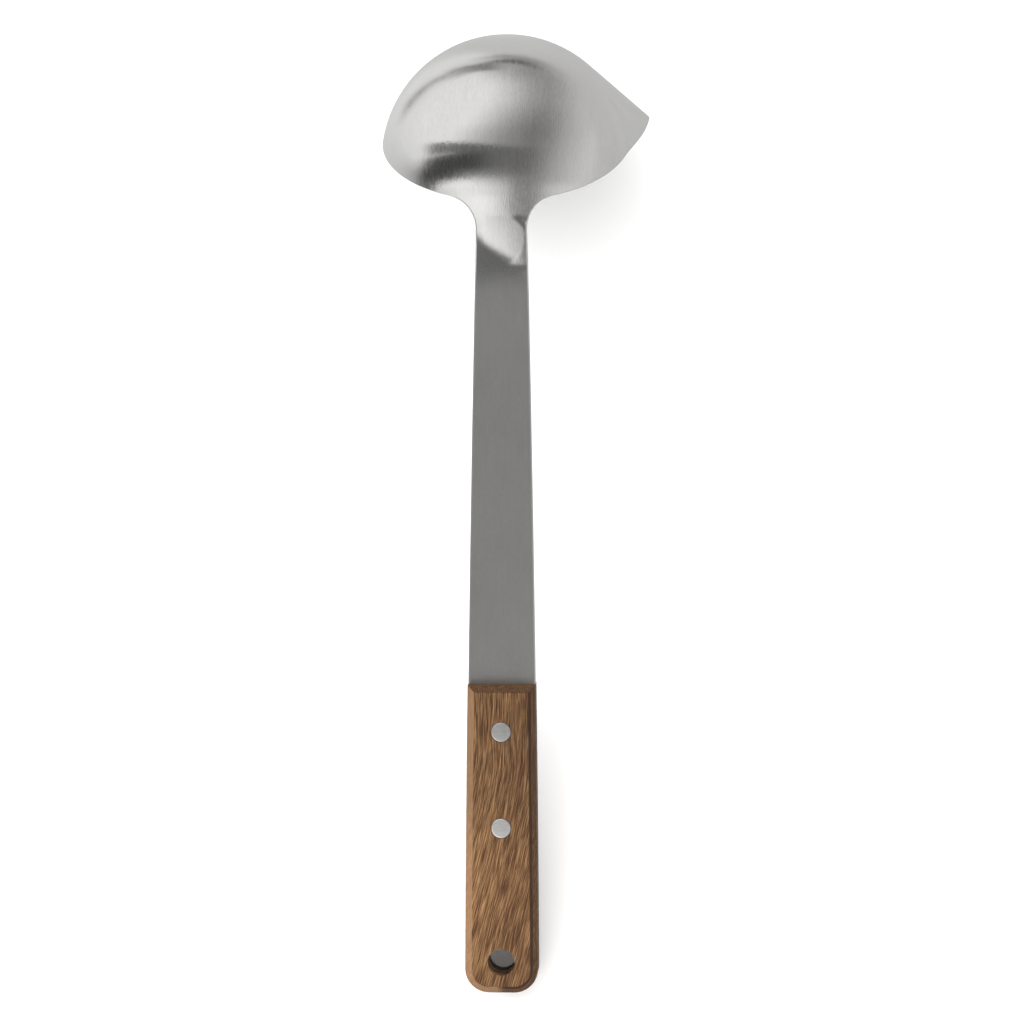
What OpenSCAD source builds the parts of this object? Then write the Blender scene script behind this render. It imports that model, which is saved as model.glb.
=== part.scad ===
// Soup ladle with a pouring lip: a one-piece steel stamping with a riveted wooden grip.
// It lies face down, as on a table: the far side of the rim and the end of the grip touch z = 0.
// +Y runs from the end of the grip to the bowl, and the pouring lip points to +X.

/* [Bowl] */
// Outer radius of the round part of the rim
rim_r = 42; // [36:0.5:50]
// Depth of the bowl from the rim to its outside
bowl_depth = 35.5; // [30:0.5:38]
// Reach of the pouring lip from the centre of the rim
lip_reach = 51.5; // [46:0.5:58]
// Radius of the blunt end of the pouring lip
lip_tip_r = 3; // [2.8:0.1:6]
// Direction of the pouring lip, counted round the rim from the neck
lip_angle = 110; // [85:0.5:120]
// Swell of the lip's side that faces the neck
lip_swell = 1.1; // [0:0.1:2]
// Hollow of the lip's far side
lip_hollow = 0.3; // [0:0.1:1]
// Thickness of the sheet
sheet_t = 2; // [1.5:0.1:2.5]
// Break of the sheet's edges
edge_break = 0.45; // [0.2:0.05:0.6]

/* [Neck] */
// Angle between the plane of the rim and the plane of the handle
rim_tilt = 60; // [50:0.5:68]
// Width of the neck at its narrowest
neck_w = 17; // [14:0.1:20]
// Radius of the fillets between the rim and the neck, on the flat blank
neck_fillet_r = 14; // [8:0.5:20]
// Straight stretch of the bowl's wall before the crease
wall_l = 4; // [2:0.5:8]
// Length of the soft crease between the wall and the neck's flat
crease_l = 1.5; // [1:0.5:4]
// Length of the neck's flat
flat_l = 9.3; // [6:0.1:14]
// Angle between the neck's flat and the handle
flat_angle = 14.5; // [8:0.5:18]
// Length of the bend between the flat and the handle
bend_l = 6; // [4:0.5:12]

/* [Handle] */
// Length of the flat handle, from its end to the bend
handle_l = 242.7; // [200:0.1:280]
// Width of the handle at its end
butt_w = 24.4; // [22:0.1:30]
// How much of the taper is a straight one
taper_share = 0.4; // [0.2:0.05:1]
// Radius of the corners at the end
butt_corner_r = 8; // [5:0.5:11]
// Length of the wooden scales
scale_l = 103; // [90:1:120]
// Thickness of each wooden scale
scale_t = 6.8; // [5:0.1:8]
// Chamfer round the outer face of a scale
scale_chamfer = 2.3; // [1.5:0.1:3]

/* [Rivets and hole] */
// Distance of the rivets from the end of the grip
rivet_at = [55.5, 87.6];
// Diameter of a rivet's head
head_d = 6.5; // [6:0.1:8]
// Thickness of a rivet's head
head_t = 1.3; // [1:0.1:2]
// Diameter of a rivet's barrel
barrel_d = 4.8; // [4.4:0.1:5.2]
// Diameter of a rivet's pin
pin_d = 3.2; // [3:0.1:3.6]
// Diameter of the hanging hole
hole_d = 9; // [7:0.5:10]
// Distance of the hanging hole from the end of the grip
hole_at = 10.6; // [10:0.1:13]

/* [Hidden] */
$fn = 48;

// The bowl's form: part of a sphere whose centre lies a little outside the opening
ball_r = (rim_r * rim_r + bowl_depth * bowl_depth) / (2 * bowl_depth);
ball_drop = ball_r - bowl_depth;
wall_flare = asin(ball_drop / ball_r);

// Keel of the lip: a straight line from the tip that is tangent to the ball
tip_dist = sqrt(lip_reach * lip_reach + ball_drop * ball_drop);
keel_dir = atan2(ball_drop, lip_reach) + acos(ball_r / tip_dist);
keel_end = ball_r * sin(keel_dir) - ball_drop;
keel_slope = (lip_reach - ball_r * cos(keel_dir)) / keel_end;
keel_wall = 1 / cos(keel_dir);

// Counts of the bowl's rings, of its columns and of the strip's columns
BOWL_RINGS = 16;
STRIP_HALF = 5;
SIDE_STEPS = 15;
FAR_STEPS = 41;
FILLET_ROWS = 7;
CORNER_ROWS = 6;

// The neck's fillet on the flat blank: its centre, and where it leaves the rim
neck_half = neck_w / 2;
fillet_x = neck_half + neck_fillet_r;
fillet_v = sqrt(pow(rim_r + neck_fillet_r, 2) - fillet_x * fillet_x);
neck_from = atan2(fillet_x, fillet_v);
fade_l = 14;

// End of an arc of radius r that starts at p and turns from slope a to slope b
function arc_end(p, r, a, b) = [p.x + r * (sin(b) - sin(a)), p.y + r * (cos(a) - cos(b))];
function line_end(p, l, a) = [p.x + l * cos(a), p.y + l * sin(a)];

// The neck's middle line from the handle up to the rim: bend, flat, crease and wall
wall_angle = 90 - rim_tilt - wall_flare;
bend_r = bend_l / (flat_angle * PI / 180);
crease_r = crease_l / ((wall_angle - flat_angle) * PI / 180);
strip_l = handle_l + bend_l + flat_l + crease_l + wall_l;
bend_from = [handle_l, sheet_t / 2];
flat_from = arc_end(bend_from, bend_r, 0, flat_angle);
crease_from = line_end(flat_from, flat_l, flat_angle);
wall_from = arc_end(crease_from, crease_r, flat_angle, wall_angle);
neck_y = line_end(wall_from, wall_l, wall_angle).x;
neck_z = line_end(wall_from, wall_l, wall_angle).y;

// The middle of the rim, in the plane of the handle
rim_y = neck_y + rim_r * cos(rim_tilt);
rim_z = neck_z - rim_r * sin(rim_tilt);

grip_t = sheet_t + 2 * scale_t;
seat_gap = 0.03;

// Swell of the lip's side, from where it leaves the ball to where it meets the tip
function side_swell(t) = 6.75 * t * t * (1 - t);

// Reach of one level slice of the bowl in one direction: two circles and the sides between them
function slice_reach(d, r, tip_c, tip_r, swell) =
    let (spread = tip_c > 0.01 ? (r - tip_r) / tip_c : 2)
    spread >= 1 ? r :
    let (side = acos(spread), tip_side = atan2(tip_r * sin(side), tip_c + tip_r * spread))
    d <= tip_side ? tip_c * cos(d) + sqrt(max(0, tip_r * tip_r - pow(tip_c * sin(d), 2))) :
    d <= side ? r / cos(side - d) + swell * side_swell((side - d) / (side - tip_side)) : r;

// Angle from the lip to a direction round the rim, negative towards the neck
function off_lip(phi) = (phi - lip_angle + 540) % 360 - 180;

// A point of the bowl's shell, sunk by e from its outside, in the plane of the handle
function bowl_point(e, phi, depth) =
    let (r = sqrt(max(0, pow(ball_r - e, 2) - pow(depth + ball_drop, 2))))
    let (blend = max(0, 1 - depth / keel_end))
    let (reach = lip_reach - e * keel_wall - depth * keel_slope)
    let (tip_r = blend * (lip_tip_r - 1.1 * e) + (1 - blend) * r)
    let (off = off_lip(phi), swell = blend * (off < 0 ? lip_swell : -lip_hollow))
    let (rho = depth < keel_end ? slice_reach(abs(off), r, reach - tip_r, tip_r, swell) : r)
    let (u = rho * cos(phi))
    [rho * sin(phi),
     rim_y - u * cos(rim_tilt) + depth * sin(rim_tilt),
     rim_z + u * sin(rim_tilt) + depth * cos(rim_tilt)];

function smooth(t) = let (c = min(1, max(0, t))) c * c * (3 - 2 * c);

// Point, forward direction and outward normal of the strip's middle line, s past the rim
function strip_line(s) =
    let (u = strip_l - s - handle_l, after_bend = u - bend_l)
    let (after_flat = after_bend - flat_l, after_crease = after_flat - crease_l)
    let (bend_turn = flat_angle * u / bend_l)
    let (crease_turn = flat_angle + (wall_angle - flat_angle) * after_flat / crease_l)
    u < 0 ? [strip_l - s, sheet_t / 2, 0] :
    after_bend < 0 ? [each arc_end(bend_from, bend_r, 0, bend_turn), bend_turn] :
    after_flat < 0 ? [each line_end(flat_from, after_bend, flat_angle), flat_angle] :
    after_crease < 0
        ? [each arc_end(crease_from, crease_r, flat_angle, crease_turn), crease_turn]
        : [each line_end(wall_from, after_crease, wall_angle), wall_angle];

// A point of the strip, sunk by e from its back, from its place on the flat blank
function strip_point(e, x, v) =
    let (fade = 1 - smooth((v - rim_r) / fade_l))
    let (sag = (rim_r - sqrt(rim_r * rim_r - x * x)) * fade)
    let (line = strip_line(v - rim_r + sag))
    let (lean = line[2] + wall_flare * fade)
    [x,
     line[0] + sag * sin(lean) + e * sin(line[2]),
     line[1] - sag * cos(lean) - e * cos(line[2])];

// Half the strip's width at a place on the flat blank
neck_end = fillet_v - rim_r;
taper_l = strip_l - neck_end;
taper = butt_w / 2 - neck_half;
function half_width(y) =
    let (q = y / taper_l)
    butt_w / 2 - taper * (taper_share * q + (1 - taper_share) * q * q);

// Outline of the handle's end, from its straight side to its flat end
corner_x = half_width(butt_corner_r) - butt_corner_r;
function corner(a, inset) =
    [corner_x + (butt_corner_r - inset) * cos(a),
     butt_corner_r - (butt_corner_r - inset) * sin(a)];

// Rows of the strip: each gives the blank's edge, and the middle of the row
function fillet_row(i, inset) =
    let (a = (90 - neck_from) * (1 - i / FILLET_ROWS), r = neck_fillet_r + inset)
    let (start = rim_r - inset)
    [fillet_x - r * cos(a),
     fillet_v - r * sin(a),
     start + (fillet_v - start) * (1 - sin(a) / cos(neck_from))];
function side_row(y, inset) = [half_width(y) - inset, rim_r + strip_l - y, rim_r + strip_l - y];
function corner_row(i, inset) =
    let (p = corner(90 * i / CORNER_ROWS, inset))
    [p.x, rim_r + strip_l - p.y, rim_r + strip_l - p.y];
neck_rows = 7;
handle_rows = 9;
side_ys = concat(
    [for (i = [1:neck_rows]) taper_l + (handle_l - taper_l) * i / neck_rows],
    [for (i = [1:handle_rows]) handle_l + (butt_corner_r - handle_l) * i / handle_rows]);
strip_rows = FILLET_ROWS + len(side_ys) + CORNER_ROWS;
function strip_row(j, inset) =
    j <= FILLET_ROWS ? fillet_row(j, inset) :
    j <= FILLET_ROWS + len(side_ys) ? side_row(side_ys[j - FILLET_ROWS - 1], inset) :
    corner_row(j - FILLET_ROWS - len(side_ys), inset);
function row_point(e, j, across, inset) =
    let (row = strip_row(j, inset))
    strip_point(e, row[0] * across, row[2] + (row[1] - row[2]) * across * across);

// Directions of the bowl's columns: the neck's, the lip's near side, its tip and the far side
near_columns = [for (i = [-STRIP_HALF:STRIP_HALF]) asin(sin(neck_from) * i / STRIP_HALF)];
tip_columns = [for (d = [-4, -2.4, -1.2, 0, 1.2, 2.4, 4]) lip_angle + d];
lip_from = tip_columns[0];
lip_to = tip_columns[len(tip_columns) - 1];
columns = concat(
    near_columns,
    [for (i = [1:SIDE_STEPS - 1]) neck_from + (lip_from - neck_from) * i / SIDE_STEPS],
    tip_columns,
    [for (i = [1:FAR_STEPS - 1]) lip_to + (360 - neck_from - lip_to) * i / FAR_STEPS]);
column_n = len(columns);
strip_n = 2 * STRIP_HALF + 1;

// Columns spread evenly towards the middle of the bowl, where they meet
function column_at(i, t) =
    columns[i] * (1 - t) + (columns[0] + 360 * i / column_n) * t;

// All points of one face of the sheet: the bowl's rings, its middle, then the strip's rows
function face_points(e) =
    let (top = ball_r - e - ball_drop)
    let (rim_turn = acos((ball_drop + edge_break) / (ball_r - e)))
    concat(
        [for (j = [0:BOWL_RINGS - 1], i = [0:column_n - 1])
            let (t = j / BOWL_RINGS)
            bowl_point(e, column_at(i, t * t), (ball_r - e) * cos(rim_turn * (1 - t)) - ball_drop)],
        [bowl_point(e, 0, top)],
        [for (j = [1:strip_rows], i = [-STRIP_HALF:STRIP_HALF])
            row_point(e, j, i / STRIP_HALF, edge_break)]);

bowl_n = BOWL_RINGS * column_n + 1;
face_n = bowl_n + strip_rows * strip_n;
function ring_index(j, i) = j * column_n + i % column_n;
function row_index(j, i) = j == 0 ? i : bowl_n + (j - 1) * strip_n + i;

// The sheet's edge, once round: the rim, the left side, the end and the right side
rim_steps = [for (i = [strip_n - 1:column_n]) i % column_n];
edge_index = concat(
    rim_steps,
    [for (j = [1:strip_rows]) row_index(j, 0)],
    [for (i = [1:strip_n - 2]) row_index(strip_rows, i)],
    [for (j = [strip_rows:-1:1]) row_index(j, strip_n - 1)]);
edge_n = len(edge_index);
function edge_points(e) = concat(
    [for (i = rim_steps) bowl_point(e, columns[i], 0)],
    [for (j = [1:strip_rows]) row_point(e, j, -1, 0)],
    [for (i = [1:strip_n - 2]) row_point(e, strip_rows, i / STRIP_HALF - 1, 0)],
    [for (j = [strip_rows:-1:1]) row_point(e, j, 1, 0)]);

blank_points = concat(
    face_points(0),
    face_points(sheet_t),
    edge_points(edge_break),
    edge_points(sheet_t - edge_break));

// Two triangles between four corners
function quad(a, b, c, d) = [[a, b, c], [a, c, d]];

function face_triangles() = concat(
    [for (j = [0:BOWL_RINGS - 2], i = [0:column_n - 1])
        each quad(ring_index(j, i), ring_index(j, i + 1),
                  ring_index(j + 1, i + 1), ring_index(j + 1, i))],
    [for (i = [0:column_n - 1])
        [ring_index(BOWL_RINGS - 1, i), ring_index(BOWL_RINGS - 1, i + 1), bowl_n - 1]],
    [for (j = [0:strip_rows - 1], i = [0:strip_n - 2])
        each quad(row_index(j + 1, i), row_index(j + 1, i + 1),
                  row_index(j, i + 1), row_index(j, i))]);

// The edge between the two faces: four closed lines of points, joined in three bands
function edge_line(k, i) =
    let (m = i % edge_n)
    k == 0 ? edge_index[m] :
    k == 1 ? 2 * face_n + m :
    k == 2 ? 2 * face_n + edge_n + m : face_n + edge_index[m];

blank_triangles = concat(
    face_triangles(),
    [for (f = face_triangles()) [for (k = [2, 1, 0]) f[k] + face_n]],
    [for (k = [0:2], i = [0:edge_n - 1])
        each quad(edge_line(k, i), edge_line(k + 1, i),
                  edge_line(k + 1, i + 1), edge_line(k, i + 1))]);

// The pose on the table: a line from the grip's lower edge that just touches the rim
rest_y = scale_chamfer;
rest_z = -grip_t / 2;
rest_angle = max([for (p = blank_points) if (p.y > handle_l) atan2(rest_z - p.z, p.y - rest_y)]);
function turned(p) =
    [p.x, p.y * cos(rest_angle) - p.z * sin(rest_angle), p.y * sin(rest_angle) + p.z * cos(rest_angle)];
rest_points = [for (p = concat(blank_points, [[0, rest_y, rest_z]])) turned(p)];
butt_back = turned([0, 0, grip_t / 2 - scale_chamfer]);
low = [min([for (p = rest_points) p.x]), butt_back.y, min([for (p = rest_points) p.z])];
high = [max([for (p = rest_points) p.x]), max([for (p = rest_points) p.y])];

// Places what is drawn in the plane of the handle on the table
module lying() {
    translate([-(low.x + high.x) / 2, -(low.y + high.y) / 2, -low.z])
        rotate([rest_angle, 0, 0])
            children();
}

// A round bar across the handle, from one height to another
module across_handle(y, d, from, to) {
    translate([0, y, from])
        cylinder(h = to - from, d = d);
}

module ladle_blank() {
    color("silver")
        lying()
            difference() {
                polyhedron(blank_points, blank_triangles);
                for (y = rivet_at)
                    across_handle(y, barrel_d + 2 * seat_gap, -sheet_t, sheet_t);
                across_handle(hole_at, hole_d, -sheet_t, sheet_t);
            }
}

// Outline of a scale, counted round, drawn in by inset
scale_steps = 10;
function scale_side(inset) = concat(
    [for (i = [0:scale_steps])
        let (y = scale_l - inset + (butt_corner_r - scale_l + inset) * i / scale_steps)
        [half_width(y) - inset, y]],
    [for (i = [1:CORNER_ROWS]) corner(90 * i / CORNER_ROWS, inset)]);
function scale_outline(inset) =
    let (side = scale_side(inset), n = len(side))
    concat(side, [for (i = [n - 1:-1:0]) [-side[i].x, side[i].y]]);

// A scale as a plate with a chamfer round its outer face, standing on z = 0
module scale_plate() {
    rings = [[0, 0], [0, scale_t - scale_chamfer], [scale_chamfer, scale_t]];
    n = len(scale_outline(0));
    points = [for (r = rings) each [for (p = scale_outline(r[0])) [p.x, p.y, r[1]]]];
    sides = [for (k = [0:1], i = [0:n - 1])
        each quad(k * n + i, (k + 1) * n + i, (k + 1) * n + (i + 1) % n, k * n + (i + 1) % n)];
    caps = [[for (i = [0:n - 1]) i], [for (i = [n - 1:-1:0]) 2 * n + i]];
    polyhedron(points, concat(sides, caps));
}

// A scale with its holes: each rivet's barrel and head, and the hanging hole
module drilled_scale() {
    difference() {
        scale_plate();
        for (y = rivet_at) {
            across_handle(y, barrel_d + 2 * seat_gap, -1, scale_t + 1);
            across_handle(y, head_d + 2 * seat_gap, scale_t - head_t, scale_t + 1);
        }
        across_handle(hole_at, hole_d, -1, scale_t + 1);
    }
}

module back_scale() {
    color("sienna")
        lying()
            translate([0, 0, sheet_t / 2])
                drilled_scale();
}

module front_scale() {
    color("sienna")
        lying()
            translate([0, 0, -sheet_t / 2])
                mirror([0, 0, 1])
                    drilled_scale();
}

// A rivet's head with a broken edge, its outer face at z = 0 and its body below
module rivet_head() {
    bevel = 0.15;
    rotate_extrude()
        polygon([[0, 0], [head_d / 2 - bevel, 0], [head_d / 2, -bevel],
                 [head_d / 2, -head_t], [0, -head_t]]);
}

// The pin enters from the back, and its end stops short of the socket's floor
pin_l = grip_t - 2 * head_t - 1;
module rivet_pin(y) {
    color("gainsboro")
        lying()
            translate([0, y, grip_t / 2]) {
                rivet_head();
                translate([0, 0, -head_t - pin_l])
                    cylinder(h = pin_l, d = pin_d);
            }
}

// The socket enters from the front, through the tang and part of the back scale
socket_l = grip_t - 2 * head_t - 2.5;
module rivet_socket(y) {
    color("gainsboro")
        lying()
            translate([0, y, -grip_t / 2])
                mirror([0, 0, 1])
                    difference() {
                        union() {
                            rivet_head();
                            translate([0, 0, -head_t - socket_l])
                                cylinder(h = socket_l, d = barrel_d);
                        }
                        translate([0, 0, -head_t - socket_l - 1])
                            cylinder(h = socket_l + 1, d = pin_d + 2 * seat_gap);
                    }
}

ladle_blank();
back_scale();
front_scale();
rivet_pin(rivet_at[1]);  // neck_end_rivet_pin
rivet_socket(rivet_at[1]);  // neck_end_rivet_socket
rivet_pin(rivet_at[0]);  // butt_end_rivet_pin
rivet_socket(rivet_at[0]);  // butt_end_rivet_socket
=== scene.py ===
# %% [markdown]
# # A soup ladle, lying face down
# The ladle is one stamped sheet of steel: a round bowl with a pouring lip, a bent neck and a
# long flat handle. Two wooden scales are riveted on its end, and a hole through them hangs it up.
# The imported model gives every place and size. This script gives the ladle its finish, in metres.

import math

import bmesh
import bpy
from mathutils import Matrix, Vector


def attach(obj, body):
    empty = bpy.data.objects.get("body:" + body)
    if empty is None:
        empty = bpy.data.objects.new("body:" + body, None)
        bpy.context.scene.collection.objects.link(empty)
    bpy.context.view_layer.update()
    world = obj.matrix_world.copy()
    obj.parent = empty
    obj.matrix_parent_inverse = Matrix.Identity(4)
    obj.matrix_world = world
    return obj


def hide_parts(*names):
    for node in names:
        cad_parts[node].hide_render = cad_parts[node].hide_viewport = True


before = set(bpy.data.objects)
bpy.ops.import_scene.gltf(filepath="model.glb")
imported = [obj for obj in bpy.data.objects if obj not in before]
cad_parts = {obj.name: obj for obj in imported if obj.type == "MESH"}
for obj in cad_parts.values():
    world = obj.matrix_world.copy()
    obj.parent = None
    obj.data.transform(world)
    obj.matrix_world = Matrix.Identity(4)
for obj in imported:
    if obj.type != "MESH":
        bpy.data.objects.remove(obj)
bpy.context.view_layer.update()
print("frame nodes:", sorted(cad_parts))

# %% [markdown]
# ## The sizes
# A press tool is cut from a drawing, so the sizes come first, in millimetres. They are the same
# named sizes that the solids were drawn with, so every new piece falls into its place.

# %% Sizes of the sheet, in millimetres
SHEET_T = 2.0
EDGE_BREAK = 0.45
RIM_R, BOWL_DEPTH = 42.0, 35.5
LIP_REACH, LIP_TIP_R, LIP_ANGLE = 51.5, 3.0, 110.0
RIM_TILT = math.radians(60.0)
NECK_HALF, NECK_FILLET_R = 8.5, 14.0
LIP_SWELL, LIP_HOLLOW = 1.1, 0.3
WALL_L, CREASE_L, FLAT_L, BEND_L = 4.0, 1.5, 9.3, 6.0
FLAT_ANGLE = math.radians(14.5)
HANDLE_L, BUTT_HALF, TAPER_SHARE, BUTT_CORNER_R = 242.7, 12.2, 0.4, 8.0

# %% Sizes of the grip, in millimetres
SCALE_L, SCALE_T, SCALE_CHAMFER = 103.0, 6.8, 2.3
RIVETS_AT = {"butt_end": 55.5, "neck_end": 87.6}
HEAD_R, HEAD_T, BARREL_R, PIN_R = 3.25, 1.3, 2.4, 1.6
HOLE_R, HOLE_AT = 4.5, 10.6
GRIP_T = SHEET_T + 2 * SCALE_T

# %% [markdown]
# ## The pose on the table
# The ladle rests on the far side of its rim and on the end of its grip, so its flat handle
# climbs at about eleven degrees. Each piece is made flat on the handle's own plane, where it is
# easy to draw, and one matrix then lays it on the table.

# %% From the handle's plane to the table
REST_ANGLE = math.radians(10.9742)
REST_SHIFT = Vector((-3.15598, -160.298, 7.21952))
LYING = (Matrix.Scale(0.001, 4) @ Matrix.Translation(REST_SHIFT)
         @ Matrix.Rotation(REST_ANGLE, 4, "X"))


def finished(bm, name, material, sharp=35.0):
    """Lays a bmesh on the table as a named piece that rides on the ladle."""
    bmesh.ops.transform(bm, matrix=LYING, verts=bm.verts)
    mesh = bpy.data.meshes.new(name)
    for face in bm.faces:
        face.smooth = True
    bm.to_mesh(mesh)
    volume = bm.calc_volume(signed=True) * 1e6
    bm.free()
    mesh.set_sharp_from_angle(angle=math.radians(sharp))
    piece = bpy.data.objects.new(name, mesh)
    bpy.context.scene.collection.objects.link(piece)
    piece.data.materials.append(material)
    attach(piece, "root")
    print(name, "faces", len(mesh.polygons), "volume cm3", round(volume, 3))
    return piece


# %% [markdown]
# ## The form of the bowl
# The bowl is part of a ball, pressed with a punch. The pouring lip is drawn out of its side: each
# level slice is the ball's circle and a small circle at the lip, joined by their two tangents.
# The lip fades out down the wall, where a straight keel meets the ball.

# %% Numbers that follow from the sizes
BALL_R = (RIM_R ** 2 + BOWL_DEPTH ** 2) / (2 * BOWL_DEPTH)
BALL_DROP = BALL_R - BOWL_DEPTH
WALL_FLARE = math.asin(BALL_DROP / BALL_R)
KEEL_DIR = (math.atan2(BALL_DROP, LIP_REACH)
            + math.acos(BALL_R / math.hypot(LIP_REACH, BALL_DROP)))
KEEL_END = BALL_R * math.sin(KEEL_DIR) - BALL_DROP
KEEL_SLOPE = (LIP_REACH - BALL_R * math.cos(KEEL_DIR)) / KEEL_END
FILLET_X = NECK_HALF + NECK_FILLET_R
FILLET_V = math.sqrt((RIM_R + NECK_FILLET_R) ** 2 - FILLET_X ** 2)
NECK_FROM = math.degrees(math.atan2(FILLET_X, FILLET_V))
WALL_ANGLE = math.pi / 2 - RIM_TILT - WALL_FLARE
STRIP_L = HANDLE_L + BEND_L + FLAT_L + CREASE_L + WALL_L
print("ball radius", round(BALL_R, 2), "wall", round(math.degrees(WALL_ANGLE), 2), "degrees")


# %% The neck's middle line, from the handle up to the rim
def neck_line(u, flat_l=FLAT_L, flat_angle=FLAT_ANGLE, start=HANDLE_L):
    """Place along, place above and slope, a length u past the handle: bend, flat, crease, wall."""
    along, above, slope = start, SHEET_T / 2, 0.0
    runs = ((BEND_L, 0, flat_angle), (flat_l, flat_angle, flat_angle),
            (CREASE_L, flat_angle, WALL_ANGLE), (1000, WALL_ANGLE, WALL_ANGLE))
    for length, low, high in runs if u > 0 else ():
        part = min(u, length)
        slope = low + (high - low) * part / length
        if high > low:
            r = length / (high - low)
            along += r * (math.sin(slope) - math.sin(low))
            above += r * (math.cos(low) - math.cos(slope))
        else:
            along += part * math.cos(low)
            above += part * math.sin(low)
        u -= part
        if u <= 0:
            break
    return along + min(0, u), above, slope


NECK_Y, NECK_Z, _ = neck_line(STRIP_L - HANDLE_L)
RIM_Y = NECK_Y + RIM_R * math.cos(RIM_TILT)
RIM_Z = NECK_Z - RIM_R * math.sin(RIM_TILT)
print("rim centre", round(RIM_Y, 3), round(RIM_Z, 3))


# %% Where a point of the bowl goes
def slice_reach(off, r, tip_c, tip_r, swell):
    """Reach of a level slice at an angle off the lip: two circles and the sides between them."""
    spread = (r - tip_r) / tip_c if tip_c > 0.01 else 2
    if spread >= 1:
        return r
    side = math.acos(spread)
    tip_side = math.atan2(tip_r * math.sin(side), tip_c + tip_r * spread)
    if off <= tip_side:
        over = tip_r ** 2 - (tip_c * math.sin(off)) ** 2
        return tip_c * math.cos(off) + math.sqrt(max(0, over))
    if off > side:
        return r
    t = (side - off) / (side - tip_side)
    hump = 6.75 * t * t * (1 - t)  # 0 at both ends, and 1 at its top
    return r / math.cos(side - off) + swell * hump


TIP_THINS = 1.1  # the tip's radius shrinks by a little more than the depth under the outside


def bowl_place(sunk, turn, depth):
    """A point of the bowl, sunk under its outside, by its turn from the neck and its depth."""
    r = math.sqrt(max(0, (BALL_R - sunk) ** 2 - (depth + BALL_DROP) ** 2))
    rho = r
    if depth < KEEL_END:
        blend = 1 - depth / KEEL_END
        reach = LIP_REACH - sunk / math.cos(KEEL_DIR) - depth * KEEL_SLOPE
        tip_r = blend * (LIP_TIP_R - TIP_THINS * sunk) + (1 - blend) * r
        off = math.radians((turn - LIP_ANGLE + 540) % 360 - 180)
        swell = blend * (LIP_SWELL if off < 0 else -LIP_HOLLOW)
        rho = slice_reach(abs(off), r, reach - tip_r, tip_r, swell)
    u = rho * math.cos(math.radians(turn))
    return Vector((rho * math.sin(math.radians(turn)),
                   RIM_Y - u * math.cos(RIM_TILT) + depth * math.sin(RIM_TILT),
                   RIM_Z + u * math.sin(RIM_TILT) + depth * math.cos(RIM_TILT)))


# %% [markdown]
# ## The form of the neck and the handle
# On the flat blank the handle is a long strip that joins the rim in two fillets. The press bends
# it below the bowl and coins a flat there, with an arched top where it runs into the bowl's
# round wall, and a right-hand side that rounds in at its end. The bend lies a little askew, as a
# hand-set press leaves it. So a point is first found on the flat blank and then carried over the
# bend, which depends on its side of the neck. On the blank, x is across and v is the distance
# from the middle of the rim.

# %% The coined flat
BEND_SKEW, SKEW_X = 0.75, 1.0
COIN_X, COIN_V, COIN_HALF, COIN_TOP, COIN_TAIL = -2.0, 52.0, 10.0, 6.0, 12.5
CORNER_HALF = 0.6


def smooth(t):
    """A soft step from 0 to 1."""
    t = min(1, max(0, t))
    return t * t * (3 - 2 * t)


def coin_side(v):
    """The right-hand side of the coined flat: straight at first, then rounding in at its end."""
    t = min(1, max(0, (v - COIN_V) / COIN_TAIL))
    return COIN_X + COIN_HALF * math.sqrt(1 - t * t)


def skewed_neck(x, v):
    """Length and slope of the neck's flat at a place, so that both ends stay put."""
    corner = coin_side(v) - CORNER_HALF
    near = min(1, max(0, (x - corner) / (2 * CORNER_HALF)))
    x = x if x < corner else corner + 2 * CORNER_HALF * near * (1 - near / 2)
    flat_l = FLAT_L + BEND_SKEW * (max(x, -NECK_HALF) + SKEW_X)
    low, high = math.radians(5), WALL_ANGLE - 0.001
    for _ in range(30):
        middle = (low + high) / 2
        rise = neck_line(BEND_L + flat_l + CREASE_L + WALL_L, flat_l, middle)[1]
        low, high = (middle, high) if rise < NECK_Z else (low, middle)
    return flat_l, low


# %% Where a point of the strip goes
SAG_FROM, SAG_FADES = 43.0, 60.0


def neck_sag(x, v):
    """How far the sheet drops away at the sides: the bowl's roundness, outside the coined flat."""
    height = COIN_TOP if v < COIN_V else COIN_TAIL
    out = math.hypot((x - COIN_X) / COIN_HALF, (v - COIN_V) / height)
    above, below = max(0, COIN_V - v) / height, max(0, v - COIN_V) / height
    right = smooth((out - 0.93 + 0.1 * above) / (0.30 + 0.2 * above + 0.3 * below))
    right *= 1 - 0.25 * smooth((v - SAG_FROM) / 9)
    right *= 1 - smooth((v - SAG_FADES) / 10)
    left = 1 - smooth((v - SAG_FROM) / 15)
    share = smooth((x - COIN_X) / 3)
    return (RIM_R - math.sqrt(RIM_R ** 2 - x * x)) * (right * share + left * (1 - share))


BLEND_L, LEAN_L = 30.0, 14.0


def strip_place(sunk, x, v):
    """A point of the strip from its place on the flat blank, sunk under the back."""
    flat_l, flat_angle = skewed_neck(x, v)
    sag = neck_sag(x, v)
    start = HANDLE_L - (flat_l - FLAT_L)
    along, above, slope = neck_line(STRIP_L - (v - RIM_R + sag) - start, flat_l, flat_angle, start)
    rim_end = neck_line(STRIP_L - start, flat_l, flat_angle, start)
    fade = 1 - smooth((v - RIM_R) / BLEND_L)
    along += (NECK_Y - rim_end[0]) * fade
    above += (NECK_Z - rim_end[1]) * fade
    lean = slope + WALL_FLARE * (1 - smooth((v - RIM_R) / LEAN_L))
    return Vector((x, along + sag * math.sin(lean) + sunk * math.sin(slope),
                   above - sag * math.cos(lean) - sunk * math.cos(slope)))


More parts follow.
